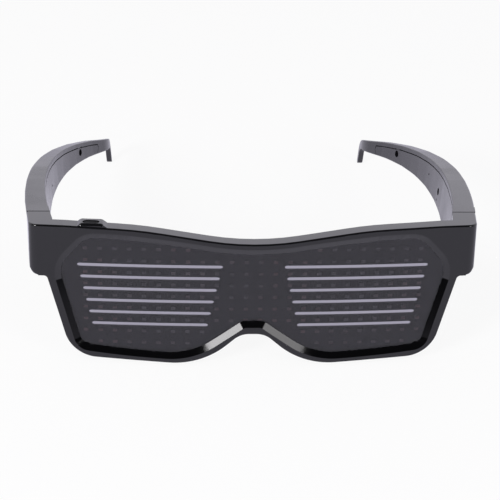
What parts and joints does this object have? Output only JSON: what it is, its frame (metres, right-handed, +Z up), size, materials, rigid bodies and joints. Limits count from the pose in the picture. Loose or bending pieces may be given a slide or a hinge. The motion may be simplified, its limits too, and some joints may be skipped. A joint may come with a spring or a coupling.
{
  "type": "led glasses",
  "caption": "Light-up party glasses: a wrapped frame with a smoked window over a slitted light board, a power button on the brow and two folding temples",
  "frame": {"origin": "centre of the bounding box at the height of the table, the glasses standing on their two lower lobes and their ear tips", "axes": "+X across the glasses to the viewer's right as seen from the front, +Y from the front towards the ear tips, +Z up"},
  "size_m": [0.1758, 0.1672, 0.0555],
  "materials": {
    "gloss_black": "polished black moulding",
    "temple_black": "satin black moulding",
    "button_black": "gloss black",
    "smoke": "smoked clear plastic",
    "black_board": "black solder mask",
    "green_board": "green solder mask",
    "lamp": "clear chip light, off",
    "red_lamp": "tinted chip light",
    "chip": "matt black",
    "steel": "plain steel",
    "dark_screw": "blackened steel",
    "cell": "foil pouch",
    "foam": "foam pad"
  },
  "bodies": {
    "front": {"front_shell": "gloss_black", "smoked_panel": "smoke", "led_board": "black_board", "leds": "lamp", "driver_chips": "chip", "rear_shell": "gloss_black", "rear_screws": "steel", "button_switch": "steel", "left_hinge_pin": "steel", "right_hinge_pin": "steel"},
    "button": {"power_button": "button_black"},
    "left_temple": {"left_temple_shell": "temple_black", "left_temple_cover": "temple_black", "left_cover_screw": "dark_screw", "battery": "cell", "battery_foam": "foam"},
    "right_temple": {"right_temple_shell": "temple_black", "right_temple_cover": "temple_black", "right_cover_screw": "dark_screw", "control_board": "green_board", "bluetooth_module": "chip", "charging_socket": "chip", "microphone": "steel", "charge_light": "red_lamp"}
  },
  "joints": [
    {"name": "left_hinge", "type": "hinge", "parent": "front", "child": "left_temple", "pos_m": [-0.0772, -0.061, 0.04266], "axis": [0, -0.1745, -0.9847], "range_deg": [0, 84]},
    {"name": "right_hinge", "type": "hinge", "parent": "front", "child": "right_temple", "pos_m": [0.0772, -0.061, 0.04266], "axis": [0, 0.1745, 0.9847], "range_deg": [0, 72]},
    {"name": "button_press", "type": "slide", "parent": "front", "child": "button", "axis": [0, -0.1745, -0.9847], "range_m": [0, 0.0005], "stiffness_N_per_m": 2000}
  ]
}
